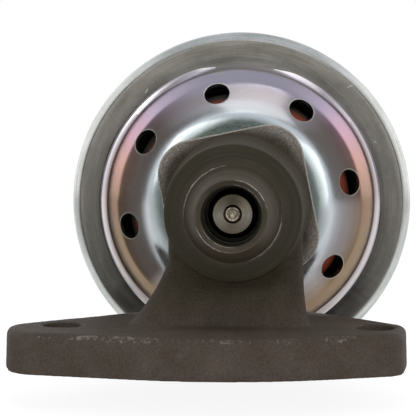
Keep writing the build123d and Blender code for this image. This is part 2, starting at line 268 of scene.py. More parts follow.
# %% Sizes of the dish
SHELL_T = 1.0
DISH_FRONT, RIM_FRONT = 39.8, 52.7  # depths of the outer faces of the flat bottom and the rim
DISH_SLOPE, CURB_SLOPE = math.radians(38), math.radians(54)
DISH_FLAT_R, DISH_CONE_R, DISH_WALL_R = 21.0, 28.1, 31.05
BEAD_FRONT, BEAD_BACK, BEAD_R, BEAD_LEAN = 51.1, 51.6, 32.65, 0.15
DISH_HOLE_R, DISH_EDGE_R = 8.2, 37.3
DISH_BENDS = (10.0, 4.0, 1.0, 0.8, 0.5, 0.5)  # radii, from the flat bottom out to the rim
dish_middle = DISH_FRONT + SHELL_T / 2
cone_end = dish_middle + (DISH_CONE_R - DISH_FLAT_R) * math.tan(DISH_SLOPE)
curb_end = cone_end + (DISH_WALL_R - DISH_CONE_R) * math.tan(CURB_SLOPE)
rim_middle = RIM_FRONT + SHELL_T / 2
print("cone ends at depth", round(cone_end, 2), "and the curb at", round(curb_end, 2))

# %% Press the dish
ROUND_STEPS = 288
dish_line = rounded(
    [
        (DISH_HOLE_R, dish_middle),
        (DISH_FLAT_R, dish_middle),
        (DISH_CONE_R, cone_end),
        (DISH_WALL_R, curb_end),
        (DISH_WALL_R, BEAD_FRONT),
        (BEAD_R, BEAD_BACK),
        (BEAD_R + BEAD_LEAN, rim_middle),
        (DISH_EDGE_R, rim_middle),
    ],
    DISH_BENDS,
)
dish = turn("vented_dish", sheet(divided(dish_line, 0.8), SHELL_T), 2 * ROUND_STEPS)
print("dish line has", len(dish_line), "points")

# %% [markdown]
# ## Where the roller pushed the bead
# The crimping roller bears hardest at one spot, and there it pushes the bead back. It could be
# sculpted, but fades in angle and radius can be measured.

# %% Push the bead
WIDE_SPOT, FAR_SIDE = math.radians(88), math.radians(215)  # where the crimp covers most and least
BEAD_START_R, BEAD_OUTER_R, BEAD_END_R = 31.7, 32.2, 36.0
BEAD_SUNK, BEAD_SHIFT, SPOT_SPREAD = 1.1, 0.18, math.radians(22)
radius, depth, angle = polar(dish.data)
pressed = np.exp(-(((angle - WIDE_SPOT) / SPOT_SPREAD) ** 2))
on_bead, outer_bead = (
    np.clip((radius - start) / 0.5, 0, 1) * np.clip((BEAD_END_R - radius) / 2, 0, 1)
    for start in (BEAD_START_R, BEAD_OUTER_R)
)
put(
    dish.data,
    radius + outer_bead * (BEAD_SHIFT + BEAD_SHIFT * np.cos(angle - FAR_SIDE)),
    depth + on_bead * BEAD_SUNK * pressed * (depth < RIM_FRONT - 0.3),
    angle,
)
print("points on the bead:", int((on_bead > 0).sum()))

# %% [markdown]
# ## The breather holes
# They are punched square to the cone. A boolean takes all eight at once, and a small bevel gives
# their edges the roll that a punch leaves, which catches the light round each.

# %% Make the punches
VENTS, VENT_RING_R, VENT_R = 8, 25.7, 2.95
PAD_TURN = math.radians(11.4)
vent_depth = dish_middle + (VENT_RING_R - DISH_FLAT_R) * math.tan(DISH_SLOPE)
vent_centres = []
punches = bmesh.new()
for k in range(VENTS):
    angle = PAD_TURN + 2 * math.pi * k / VENTS
    centre = on_stem(VENT_RING_R, vent_depth, angle)
    vent_centres.append(centre)
    out = on_stem(1, 0, angle) - on_stem(0, 0, angle)
    along = (out * math.sin(DISH_SLOPE) - Vector((0, MM, 0)) * math.cos(DISH_SLOPE)).normalized()
    spot = along.to_track_quat("Z", "Y").to_matrix().to_4x4()
    spot.translation = centre
    bmesh.ops.create_cone(
        punches, cap_ends=True, segments=72, radius1=VENT_R * MM, radius2=VENT_R * MM,
        depth=4 * SHELL_T * MM, matrix=spot,
    )
punch_mesh = bpy.data.meshes.new("punches")
punches.to_mesh(punch_mesh)
punches.free()
punch = new_object("punches", punch_mesh)
print(VENTS, "punches of radius", VENT_R, "mm on a ring of radius", VENT_RING_R)

# %% Punch the dish
cut = dish.modifiers.new("punch", "BOOLEAN")
cut.object, cut.operation, cut.solver = punch, "DIFFERENCE", "EXACT"
tidy = dish.modifiers.new("close_cut_points", "WELD")
tidy.merge_threshold = 0.06 * MM
roll_edges(dish, "rolled_edges", 0.26)
settle(dish)
bpy.data.objects.remove(punch)
smooth(dish)
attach(dish, "housing")
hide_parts("lower_shell")
print("dish faces", len(dish.data.polygons))

# %% [markdown]
# ## The cover and its crimped lip
# The rear half is deeper. Its rim wraps round the dish's and is rolled down over it, which clamps
# the diaphragm. It is one sheet, so it is spun as one line, from the hole in its cup to the lip's
# raw edge.

# %% Sizes of the cover
COVER_T = 1.0
COVER_FRONT, COVER_SHOULDER, COVER_STEP, COVER_TOP = 54.9, 64.1, 67.1, 75.0  # depths
COVER_HOLE_R, COVER_CUP_R, COVER_CUP_FOOT_R = 2.41, 17.8, 18.6
COVER_SHOULDER_R, COVER_WALL_R = 29.5, 31.9
RIM_R, LIP_R = 40.2, 33.15
ROLL_IN, ROLL_DEPTH = 37.94, 54.12  # the roller leaves a slant between these two corners
COVER_BENDS = (2.6, 2.6, 4.0, 1.2, 1.2, 0.6, 0.3)  # radii, from the cup out to the lip
fold_r = RIM_R - COVER_T / 2
flange_middle = COVER_FRONT + COVER_T / 2
lip_middle = RIM_FRONT - COVER_T / 2
print("the flat of the lip is", round(ROLL_IN - LIP_R, 2), "mm wide")

# %% Spin the cover
cover_line = rounded(
    [
        (COVER_HOLE_R, COVER_TOP + COVER_T / 2),
        (COVER_CUP_R, COVER_TOP + COVER_T / 2),
        (COVER_CUP_FOOT_R, COVER_STEP + COVER_T / 2),
        (COVER_SHOULDER_R, COVER_SHOULDER + COVER_T / 2),
        (COVER_WALL_R, flange_middle),
        (fold_r, flange_middle),
        (fold_r, ROLL_DEPTH),
        (ROLL_IN, lip_middle),
        (LIP_R, lip_middle),
    ],
    COVER_BENDS,
)
cover = turn("crimped_cover", sheet(divided(cover_line, 0.9), COVER_T), 2 * ROUND_STEPS)
print("cover line has", len(cover_line), "points")

# %% [markdown]
# ## The wander of the lip
# A spinning roller never leaves a perfect ring: the lip's raw edge sits a little off centre,
# covers more of the dish at one spot, and wanders, and its face waves by hundredths of a
# millimetre. A slow noise and a quick one do that. They read the angle as a place on a circle, so
# the ring has no seam.

# %% Let the lip wander
LIP_OFF_CENTRE, LIP_WIDER, WIDE_SPREAD = 0.22, 1.25, math.radians(20)
radius, depth, angle = polar(cover.data)
on_lip = np.clip((RIM_FRONT + 0.3 - depth) / 0.6, 0, 1) * (depth > RIM_FRONT - COVER_T - 0.2)
near_edge = on_lip * np.clip((LIP_R + 1.6 - radius) / 1.6, 0, 1)
wander, ripple = (
    np.array([noise.noise((math.cos(a) * reach, math.sin(a) * reach, level)) for a in angle])
    for reach, level in ((7, 3.1), (26, 8.4))
)
off_centre = LIP_OFF_CENTRE + LIP_OFF_CENTRE * np.cos(angle - FAR_SIDE)
wide_spot = LIP_WIDER * np.exp(-(((angle - WIDE_SPOT) / WIDE_SPREAD) ** 2))
radius = radius + near_edge * (off_centre - wide_spot + 0.08 * wander + 0.05 * ripple)
depth = depth + on_lip * np.clip((RIM_R - radius) / 3, 0, 1) * (0.05 * wander + 0.02 * ripple)
put(cover.data, radius, depth, angle)
roll_edges(cover, "broken_edges", 0.24)
settle(cover)
smooth(cover)
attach(cover, "housing")
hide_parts("upper_cover")
print("cover faces", len(cover.data.polygons))

# %% [markdown]
# ## The casting
# Sand leaves iron slightly lumpy, with every corner a little soft, and machined faces stay flat
# and crisp beside it. The exact solid is remeshed evenly and relaxed, which rounds its corners as
# a mould does, and noise moves the cast skin by a few hundredths of a millimetre. Points that lie
# on machined faces go back to the exact solid. The turned nose is left out here, because it is
# crisper as a spun piece of its own.

# %% Sizes of the casting
GRID = 0.42  # mm between points of the cast skin
NOSE_END = 10.7  # depth where the turned front meets the cast barrel
PAD_BACK = 39.0
GUIDE_BORE_R, PORT_R, PORT_DEPTH, PORT_Y = 7.5, 7.5, 6.5, 9.8
BOLT_X, BOLT_R = 33.35, 4.1
FLANGE_T = 8.7
EDGE_FRONT = -17.0  # the flange's upper front edge keeps its own round ahead of this
print("the turned front ends", round(PAD_BACK - NOSE_END, 1), "mm ahead of the pad's joint face")

# %% Remesh the iron
iron = nodes["valve_body"].data.copy()
iron.materials.clear()
for name in [a.name for a in iron.attributes if a.name.startswith("custom")]:
    iron.attributes.remove(iron.attributes[name])
casting = new_object("iron_casting", iron)
weld = casting.modifiers.new("weld", "WELD")
weld.merge_threshold = 1e-6
remesh = casting.modifiers.new("even_skin", "REMESH")
remesh.mode, remesh.voxel_size = "VOXEL", GRID * MM
settle(casting)
print("points of the cast skin:", len(casting.data.vertices))

# %% Tell machined faces from the cast skin
exact = bmesh.new()
exact.from_mesh(nodes["valve_body"].data)
exact_skin = BVHTree.FromBMesh(exact)
exact.free()


def machined(p):
    """True for a place in mm on the mounting face, a drilled hole, a bore or the joint face."""
    x, y, z = p
    depth, r = y - INLET_Y, math.hypot(x - STEM_X, z - STEM_Z)
    hole = min(math.hypot(x - BOLT_X, y), math.hypot(x + BOLT_X, y))
    port = math.hypot(x - STEM_X, y - PORT_Y)
    return (
        z < 0.05
        or hole < BOLT_R + 0.05
        or depth > PAD_BACK - 0.05
        or (r < GUIDE_BORE_R + 0.05 and depth > 0)
        or (port < PORT_R + 0.05 and z < PORT_DEPTH + 0.1)
    )


print("the mounting face is machined:", machined((0, 0, 0)))

# %% Relax the skin
CREASE_LOW, CREASE_HIGH, CREASE_HALF = 6.5, 12.5, 26.0  # mm, where the column meets the flange


def relax(shape, verts, passes):
    """Draw vertices halfway to the middle of their neighbours, this many times."""
    for _ in range(passes):
        bmesh.ops.smooth_vert(
            shape, verts=verts, factor=0.5, use_axis_x=True, use_axis_y=True, use_axis_z=True
        )


shape = bmesh.new()
shape.from_mesh(casting.data)
shape.verts.ensure_lookup_table()
relax(shape, shape.verts, 2)
foot_crease = [
    v for v in shape.verts
    if CREASE_LOW * MM < v.co.z < CREASE_HIGH * MM and EDGE_FRONT < v.co.y / MM and v.co.y < 0
    and abs(v.co.x / MM - STEM_X) < CREASE_HALF
]
relax(shape, foot_crease, 10)
shape.normal_update()
print("points in the crease at the column's foot:", len(foot_crease))

# %% Roughen the skin and find its worn edges
EDGE_ROUND, EDGE_WEAR = 1.6, 0.93  # of the flange's upper front edge
FULL_LOSS = 0.12  # mm off a corner that counts as fully worn
wear = []
for v in shape.verts:
    near = exact_skin.find_nearest(v.co)[0]
    p = near / MM
    lost = (near - v.co).length / MM  # how much the relaxing took off: large on outer corners
    outer = (near - v.co).dot(v.normal) > 0
    if machined(p):
        v.co = near
        wear.append(0.0)
        continue
    swell = noise.noise(p * 0.11) * 0.10
    grit = noise.noise(p * 0.9) * 0.045 + noise.noise(p * 2.1) * 0.03
    v.co += v.normal * (swell + grit) * MM
    round_edge = FLANGE_T - EDGE_ROUND < p.z < FLANGE_T + 0.1 and 0.25 < v.normal.z < 0.95
    if round_edge and v.normal.y < -0.3 and p.y < EDGE_FRONT + 4:
        wear.append(EDGE_WEAR)
    else:
        wear.append(min(1.0, lost / FULL_LOSS) if outer and p.z > FLANGE_T / 2 else 0.0)
shape.to_mesh(casting.data)
shape.free()
edge_wear = casting.data.attributes.new("edge_wear", "FLOAT", "POINT")
edge_wear.data.foreach_set("value", wear)
print("points with worn metal:", sum(w > 0.5 for w in wear), "of", len(wear))

# %% Cut away the turned front
BARREL_R, BARREL_END_R, BORE_SIDE_R = 15.2, 14.42, 10.0
shape = bmesh.new()
shape.from_mesh(casting.data)
front = []
for v in shape.verts:
    p = v.co / MM
    if p.y - INLET_Y < NOSE_END and math.hypot(p.x - STEM_X, p.z - STEM_Z) < BARREL_R:
        front.append(v)
bmesh.ops.delete(shape, geom=front, context="VERTS")
for v in shape.verts:
    if v.is_boundary:
        p = v.co / MM
        angle = math.atan2(p.z - STEM_Z, p.x - STEM_X)
        r = math.hypot(p.x - STEM_X, p.z - STEM_Z)
        v.co = on_stem(BARREL_END_R if r > BORE_SIDE_R else r, NOSE_END - 0.3, angle)
shape.to_mesh(casting.data)
shape.free()
smooth(casting, 40)
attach(casting, "housing")
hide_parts("valve_body")
print("casting faces", len(casting.data.polygons))

# %% [markdown]
# ## The turned front of the casting
# The nose, its mouth, the bore and the shoulder are cut in one chucking on a lathe. They are spun
# here from the same sizes, with small broken corners, and the outline stops inside the cast
# barrel.

# %% Spin the nose and shoulder
BORE_R, THROAT_R, BORE_DEPTH, SEAT_FRONT = 6.16, 5.86, 7.0, 11.0
MOUTH_R, NOSE_BASE_R, NOSE_LEN = 7.43, 10.2, 8.0
SHOULDER_R, SHOULDER_DEPTH = 14.5, 9.4
BARREL_IN_R, SEAT_IN_R = 13.0, 8.0  # where the outline stops inside the casting
nose_line = rounded(
    [
        (BARREL_IN_R, NOSE_END + 0.02),
        (SHOULDER_R + 0.06, NOSE_END),
        (SHOULDER_R, SHOULDER_DEPTH),
        (NOSE_BASE_R, NOSE_LEN),
        (MOUTH_R, 0.0),
        (BORE_R, MOUTH_R - BORE_R),
        (BORE_R, BORE_DEPTH),
        (THROAT_R, BORE_DEPTH),
        (THROAT_R, SEAT_FRONT),
        (SEAT_IN_R, SEAT_FRONT + 0.02),
    ],
    (0.05, 0.55, 0.5, 0.16, 0.12, 0.05, 0.05, 0.05),
)
front_end = turn("turned_front", divided(nose_line, 0.6), ROUND_STEPS)
smooth(front_end)
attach(front_end, "housing")
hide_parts("valve_body")
print("turned front faces", len(front_end.data.polygons))

# %% [markdown]
# ## The diaphragm
# The rubber is clamped at the rim and carried by the stem at its centre, and between them it
# stands up in a rolling wall. It is spun in two halves that meet at the crest of the roll, because
# the rim half never moves, while the centre half stretches between the stem and the still crest.

# %% Spin the two halves of the diaphragm
RUBBER_T = 1.2
RUBBER_FLAT, RUBBER_CLAMP = 45.6, 54.3
RUBBER_HOLE_R, RUBBER_EDGE_R = 2.41, 37.8
RUBBER_WALL_R, ROLL_RISE, ROLL_W, ROLL_LEAN = 25.0, 4.8, 4.5, 0.4
crest = RUBBER_CLAMP + ROLL_RISE
rubber_line = rounded(
    [
        (RUBBER_HOLE_R, RUBBER_FLAT),
        (RUBBER_WALL_R, RUBBER_FLAT),
        (RUBBER_WALL_R + ROLL_LEAN, crest),
        (RUBBER_WALL_R + ROLL_W, crest),
        (RUBBER_WALL_R + ROLL_W + ROLL_LEAN, RUBBER_CLAMP),
        (RUBBER_EDGE_R, RUBBER_CLAMP),
    ],
    (1.8, 1.4, 1.4, 0.9),
)
top = max(range(len(rubber_line)), key=lambda i: (rubber_line[i].y, -rubber_line[i].x))
centre_half, rim_half = (
    turn(name, sheet(divided(line, 1.0), RUBBER_T), ROUND_STEPS // 2)
    for name, line in (
        ("diaphragm_centre", rubber_line[: top + 1]),
        ("diaphragm_rim", rubber_line[top:]),
    )
)
for half in (centre_half, rim_half):
    smooth(half, 40)
    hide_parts("diaphragm")
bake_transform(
    centre_half,
    "valve",
    "housing",
    start=on_stem(0, RUBBER_FLAT + RUBBER_T / 2 + 0.1, 0),
    end=on_stem(0, crest - RUBBER_T / 2, 0),
)
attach(rim_half, "housing")
print("crest of the roll at depth", crest)

# %% [markdown]
# ## The return spring
# The coil closes up as the valve lifts. The solid's own coil is copied and fixed to the housing,
# with a mesh of its own.

# %% Copy the spring coil
coil = new_object("spring_coil", nodes["return_spring"].data.copy())
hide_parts("return_spring")
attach(coil, "housing")
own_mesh(coil)

# %% [markdown]
# ## The pintle's face and the peened stem
# Looking into the inlet you see the flat face of the pintle, faced on a lathe, and in its middle
# the end of the stem, which a rotary peening tool has spread over the hole. The tool leaves a
# rolled ring, a narrow groove and a low, slightly twisted crown.

# %% Spin the pintle
PINTLE_FRONT, PINTLE_NOSE_R, PINTLE_R = 7.8, 4.13, 6.6
PINTLE_CONE_END, PINTLE_BACK = 18.33, 19.83
PINTLE_HOLE_R, PINTLE_HOLE_EDGE_R = 1.71, 1.96
pintle_line = rounded(
    [
        (PINTLE_HOLE_R, PINTLE_BACK),
        (PINTLE_HOLE_R, PINTLE_FRONT + 0.25),
        (PINTLE_HOLE_EDGE_R, PINTLE_FRONT),
        (PINTLE_NOSE_R, PINTLE_FRONT),
        (PINTLE_R, PINTLE_CONE_END),
        (PINTLE_R, PINTLE_BACK),
    ],
    (0.05, 0.04, 0.10, 0.05),
)
pintle = turn("turned_pintle", divided(pintle_line, 0.4), ROUND_STEPS // 2)
smooth(pintle)
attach(pintle, "valve")
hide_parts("pintle")
print("pintle faces", len(pintle.data.polygons))

# %% Spin the stem and its peened end
STEM_TIP, STEM_NOSE_R, STEM_R, STEM_TOP_R = 7.5, 1.70, 3.0, 2.4
DEFLECTOR_BACK, COLLAR_FRONT, WASHER_BACK, RIVET_BACK = 20.83, 43.0, 48.2, 49.6
RIVET_R = 3.6
CROWN_R, CROWN_TWIST = 0.45, 0.05
# radius, and depth behind the tip, over the crown, the groove and the rolled ring
crown_line = (
    (0.0, 0.16), (0.18, 0.15), (0.34, 0.06), (0.52, 0.02), (0.70, 0.05), (0.84, 0.14),
    (0.92, 0.17), (1.02, 0.10), (1.16, 0.01), (1.36, 0.00), (1.54, 0.06), (1.66, 0.20),
    (STEM_NOSE_R, 0.42),
)
stem_line = [Vector((r, STEM_TIP + d)) for r, d in crown_line]
stem_line += rounded(
    [
        (STEM_NOSE_R, 9.0),
        (STEM_NOSE_R, DEFLECTOR_BACK),
        (STEM_R, DEFLECTOR_BACK),
        (STEM_R, COLLAR_FRONT),
        (STEM_TOP_R, COLLAR_FRONT),
        (STEM_TOP_R, WASHER_BACK),
        (RIVET_R, WASHER_BACK),
        (RIVET_R, RIVET_BACK),
        (0.0, RIVET_BACK),
    ],
    (0.05, 0.08, 0.08, 0.05, 0.05, 0.08, 0.60),
)
stem = turn("turned_stem", stem_line, ROUND_STEPS // 3, closed=False)
radius, depth, angle = polar(stem.data)
crown = np.clip(1 - abs(radius - CROWN_R) / 0.5, 0, 1) * (depth < STEM_TIP + 0.5)
put(stem.data, radius, depth - CROWN_TWIST * crown * np.sin(2 * angle + 3.5 * radius), angle)
smooth(stem, 60)
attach(stem, "valve")
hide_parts("valve_stem")
print("stem end stands", round(PINTLE_FRONT - STEM_TIP, 2), "mm proud of the pintle")

# %% [markdown]
# ## Two helpers for node materials
# Colours are picked as sRGB hex, the way a paint card gives them, and Blender's sockets want
# linear light, so one function converts. A second adds a node, sets its properties and fills or
# links its inputs. Some inputs go by their order: Map Range takes a value, its low and high, and
# what they become. A Mix node has sockets for every kind of value, and a mix of colours takes its
# share as 0 and the colours as 6 and 7.

# %% Colour and node helpers
COLOURS = {"data_type": "RGBA", "out": 2}  # what makes a Mix node mix colours


def linear(code):
    """An sRGB hex colour as linear red, green, blue and alpha."""
    parts = [int(code[i : i + 2], 16) / 255 for i in (1, 3, 5)]
    return [c / 12.92 if c <= 0.04045 else ((c + 0.055) / 1.055) ** 2.4 for c in parts] + [1.0]


def add(tree, kind, inputs=(), stops=(), out=0, **settings):
    """Add a node and give back one of its outputs, the first unless told. Inputs are values, hex
    colours or sockets, in the node's order or by name or number. Settings are its properties, and
    a colour band's stops are (place, hex colour) pairs in order."""
    node = tree.nodes.new("ShaderNode" + kind)
    for key, value in settings.items():
        setattr(node, key, value)
    for i, (place, code) in enumerate(stops):
        band = node.color_ramp.elements
        point = band[i] if i < 2 else band.new(place)
        point.position, point.color = place, linear(code)
    for key, value in inputs.items() if isinstance(inputs, dict) else enumerate(inputs):
        if isinstance(value, bpy.types.NodeSocket):
            tree.links.new(value, node.inputs[key])
        else:
            node.inputs[key].default_value = linear(value) if isinstance(value, str) else value
    return node.outputs[out] if node.outputs else None


def empty_tree(owner):
    """The node tree of a material or a world, turned on and cleared."""
    owner.use_nodes = True
    owner.node_tree.nodes.clear()
    return owner.node_tree


def finish(name, **shader):
    """A new material with one Principled shader, whose own sockets take the constant values."""
    material = bpy.data.materials.new(name)
    tree = empty_tree(material)
    shading = add(tree, "BsdfPrincipled", {k.replace("_", " "): v for k, v in shader.items()})
    add(tree, "OutputMaterial", {"Surface": shading})
    return material, tree, shading.node


def feed(tree, surface, **sockets):
    """Link sockets into a shader's inputs. An underscore stands for a space in an input's name."""
    for name, socket in sockets.items():
        tree.links.new(socket, surface.inputs[name.replace("_", " ")])


print("mid grey is", [round(c, 3) for c in linear("#808080")])

# %% [markdown]
# ## Finding a point's place about the stem in a material
# Turned and rolled surfaces carry marks that run round the stem, so their patterns need polar
# places. A direction round the stem is kept as a unit vector and not as an angle, because an angle
# jumps at one side and would leave a seam.

# %% Polar places for patterns


def stem_place(tree):
    """Sockets for the radius in mm, the depth in mm and the unit direction round the stem."""
    place = add(tree, "TexCoord", out="Object")
    zero = (STEM_X * MM, INLET_Y * MM, STEM_Z * MM)
    local = add(tree, "VectorMath", (place, zero), operation="SUBTRACT")
    in_mm = add(tree, "VectorMath", {0: local, "Scale": 1 / MM}, operation="SCALE")
    depth = add(tree, "SeparateXYZ", {0: in_mm}, out="Y")
    flat = add(tree, "VectorMath", (in_mm, (1, 0, 1)), operation="MULTIPLY")
    radius = add(tree, "VectorMath", {0: flat}, out="Value", operation="LENGTH")
    direction = add(tree, "VectorMath", {0: flat}, operation="NORMALIZE")
    return radius, depth, direction


def polar_grain(tree, place, around, across, **noise_inputs):
    """Noise drawn out round the stem. Around and across are its cells per radian and per mm."""
    radius, depth, direction = place
    reach = add(tree, "Math", (radius, depth), operation="ADD")
    out = add(tree, "Math", (reach, across), operation="MULTIPLY")
    turned = add(tree, "VectorMath", {0: direction, "Scale": around}, operation="SCALE")
    lift = add(tree, "CombineXYZ", {"Y": out})
    vector = add(tree, "VectorMath", (turned, lift), operation="ADD")
    return add(tree, "TexNoise", {"Vector": vector, "Scale": 1.0, **noise_inputs})


print("stem's zero is", (STEM_X, INLET_Y, STEM_Z), "mm")

# %% [markdown]
# ## Sand-cast iron
# Grey iron straight from the sand, blackened by phosphate and oil. The column and boss keep the
# oil and read olive and darker, which is partly painted shade under the boss, while the handled
# flange has gone browner and is painted lighter, as it stands nearer the front light. The eye knows
# it by its fine speckle and slow patches. The blasted pad is paler, and knocks have bared the metal
# along the flange's upper edge.

# %% Finish: sand-cast iron, its colour
GRAIN_MM, PATCH_MM, KNOCK_MM = 0.45, 6.0, 0.9
HANDLED_LIT_TOP, HANDLED_LIT_FULL = 18, 7  # heights in mm between which olive gives way to brown
cast_iron, tree, surface = finish("sand_cast_iron", Specular_IOR_Level=0.22)
place = add(tree, "TexCoord", out="Object")
patch, grain, knocks = (
    add(tree, "TexNoise", {"Vector": place, "Scale": 1 / (size * MM), **softness})
    for size, softness in (
        (PATCH_MM, {"Detail": 4.0}),
        (GRAIN_MM, {"Detail": 3.0, "Roughness": 0.6}),
        (KNOCK_MM, {"Detail": 5.0, "Roughness": 0.75}),
    )
)
olive, brown = (
    add(tree, "ValToRGB", {"Fac": patch}, tuple(zip((0.32, 0.52, 0.72), tones)))
    for tones in (("#403929", "#463F30", "#4D4535"), ("#554B42", "#5A5048", "#625850"))
)
height = add(tree, "SeparateXYZ", {0: place}, out="Z")
# painted light: lower down the flange is browner and lighter, partly from handling and partly as painted
# light nearest the front; higher up the darker olive is partly painted shade under the boss
handled_and_lit = add(
    tree, "MapRange", (height, HANDLED_LIT_TOP * MM, HANDLED_LIT_FULL * MM),
    interpolation_type="SMOOTHSTEP",
)
tone = add(tree, "Mix", {0: handled_and_lit, 6: olive, 7: brown}, **COLOURS)
speck = add(
    tree, "ValToRGB", {"Fac": grain}, ((0.36, "#DFDAD3"), (0.50, "#F2EEE8"), (0.66, "#FFFFFF"))
)
skin = add(tree, "Mix", {0: 1.0, 6: tone, 7: speck}, **COLOURS, blend_type="MULTIPLY")
print("speckle", GRAIN_MM, "mm over patches of", PATCH_MM, "mm")

# %% Finish: sand-cast iron, its blasted pad and knocked edges
PAD_START, PAD_FULL = 31.5, 35.5  # depths
BOSS_END, BOSS_CLEAR = 16.3, 19.5  # radii
radius, depth, _ = stem_place(tree)
on_pad = add(tree, "MapRange", (depth, PAD_START, PAD_FULL))
off_boss = add(tree, "MapRange", (radius, BOSS_END, BOSS_CLEAR))
blasted = add(tree, "Math", (on_pad, off_boss), operation="MULTIPLY")
chalky = add(
    tree, "ValToRGB", {"Fac": grain}, ((0.34, "#5A524A"), (0.52, "#8A837B"), (0.68, "#B0AAA2"))
)
skin = add(tree, "Mix", {0: blasted, 6: skin, 7: chalky}, **COLOURS)
struck = add(tree, "MapRange", (patch, 0.42, 0.56, 0.8, 1.0))
broken = add(tree, "Attribute", out="Fac", attribute_name="edge_wear")
for share in (knocks, struck):
    broken = add(tree, "Math", (broken, share), operation="MULTIPLY")
bare = add(tree, "MapRange", (broken, 0.45, 0.60, 0.0, 0.75))
colour = add(tree, "Mix", {0: bare, 6: skin, 7: "#A19A92"}, **COLOURS)
rough = add(tree, "MapRange", (grain, 0.3, 0.7, 0.78, 0.60))
bump = add(tree, "Bump", {"Strength": 0.35, "Distance": 0.08 * MM, "Height": grain})
feed(tree, surface, Base_Color=colour, Roughness=rough, Normal=bump)
casting.data.materials.append(cast_iron)
print("the pad is blasted from depth", PAD_START, "and knocks are", KNOCK_MM, "mm apart")

# %% [markdown]
# ## Turned iron
# The same iron after the lathe, oiled and browned by heat. The cut leaves fine rings. The bore
# behind the mouth is black with soot. Fitting the tube has rubbed the edges bright, and each edge
# is painted brightest as a highlight on the two sides where it catches the light: the mouth at its
# upper right and lower left, the nose's foot at its upper left and lower right.

# %% Finish: turned iron, its colour
turned_iron, tree, surface = finish("turned_iron", Specular_IOR_Level=0.30)
place = stem_place(tree)
radius, _, direction = place
rings = polar_grain(tree, place, 0.5, 3.0, Detail=3.0, Roughness=0.6)
blotch = polar_grain(tree, place, 2.0, 0.4, Detail=3.0)
faces = add(tree, "MapRange", (radius, 8.0, 15.0))
base = add(
    tree, "ValToRGB", {"Fac": faces}, ((0.0, "#5A5042"), (0.30, "#4D4436"), (0.55, "#38331F"))
)
ringed = add(tree, "ValToRGB", {"Fac": rings}, ((0.35, "#C4C2BE"), (0.65, "#FFFFFF")))
skin = add(tree, "Mix", {0: 1.0, 6: base, 7: ringed}, **COLOURS, blend_type="MULTIPLY")
SOOT_R = BORE_R + 0.25
inside = add(tree, "MapRange", (radius, SOOT_R, BORE_R + 0.05))
skin = add(tree, "Mix", {0: inside, 6: skin, 7: "#2C2B20"}, **COLOURS)
print("soot starts at radius", SOOT_R)

# %% Finish: turned iron, its rubbed edges with painted highlights
nicks = polar_grain(tree, place, 9.0, 2.5, Detail=4.0, Roughness=0.65)
# each edge's radius, how far the rubbing reaches in mm, and the angle of the two sides where a highlight is
# painted
RUBBED_AND_LIT_EDGES = ((MOUTH_R, 0.30, 50), (SOOT_R, 0.22, 55), (NOSE_BASE_R, 0.45, 140))
bare = 0.0
for edge_r, reach, lean in RUBBED_AND_LIT_EDGES:
    off = add(tree, "Math", (radius, edge_r), operation="SUBTRACT")
    off = add(tree, "Math", {0: off}, operation="ABSOLUTE")
    near = add(tree, "MapRange", (off, reach, 0.0))
    line = (math.cos(math.radians(lean)), 0, math.sin(math.radians(lean)))
    # the two sides along this angle are where each edge catches the light, so the bare metal there is partly
    # a painted highlight
    side = add(tree, "VectorMath", (direction, line), out=1, operation="DOT_PRODUCT")
    side = add(tree, "Math", {0: side}, operation="ABSOLUTE")
    side = add(tree, "MapRange", (side, 0.45, 0.95, 0.15, 1.0))
    rub_and_glint = near
    for share in (side, nicks):
        rub_and_glint = add(tree, "Math", (rub_and_glint, share), operation="MULTIPLY")
    rub_and_glint = add(tree, "MapRange", (rub_and_glint, 0.30, 0.50))
    bare = add(tree, "Math", (bare, rub_and_glint), operation="MAXIMUM")
colour = add(tree, "Mix", {0: bare, 6: skin, 7: "#B9B2A6"}, **COLOURS)
metal = add(tree, "Math", (bare, 0.8), operation="MULTIPLY")
rough = add(tree, "MapRange", (blotch, 0.3, 0.7, 0.46, 0.60))
bump = add(tree, "Bump", {"Strength": 0.15, "Distance": 0.04 * MM, "Height": rings})
feed(tree, surface, Base_Color=colour, Metallic=metal, Roughness=rough, Normal=bump)
front_end.data.materials.append(turned_iron)
print("rubbed edges at radii", [round(edge[0], 2) for edge in RUBBED_AND_LIT_EDGES])

# %% [markdown]
# ## Zinc with a rainbow film
# Pressed steel, bright zinc plated and dipped in chromate. The film is thickest on the curb, where
# it goes from lilac near the top of the pressing through rose and salmon to gold low down, as the
# bath ran off. The flat bottom was masked by the pad's gasket and is a dull greenish grey, darkened
# next to the pad as painted shade, and the bead is nearly clear. The pale band at the first bend and
# the near-white bead are painted highlights.

# %% Finish: zinc dichromate, its film
FILM_IN_R, FILM_OUT_R = 16.0, 34.0
dichromate, tree, surface = finish("zinc_dichromate")
place = stem_place(tree)
radius, _, direction = place
cloud = polar_grain(tree, place, 1.6, 0.25, Detail=2.0)
shift = add(tree, "MapRange", (cloud, 0.3, 0.7, -0.5, 0.5))
along = add(tree, "Math", (radius, shift), operation="ADD")
run = add(tree, "MapRange", (along, FILM_IN_R, FILM_OUT_R))
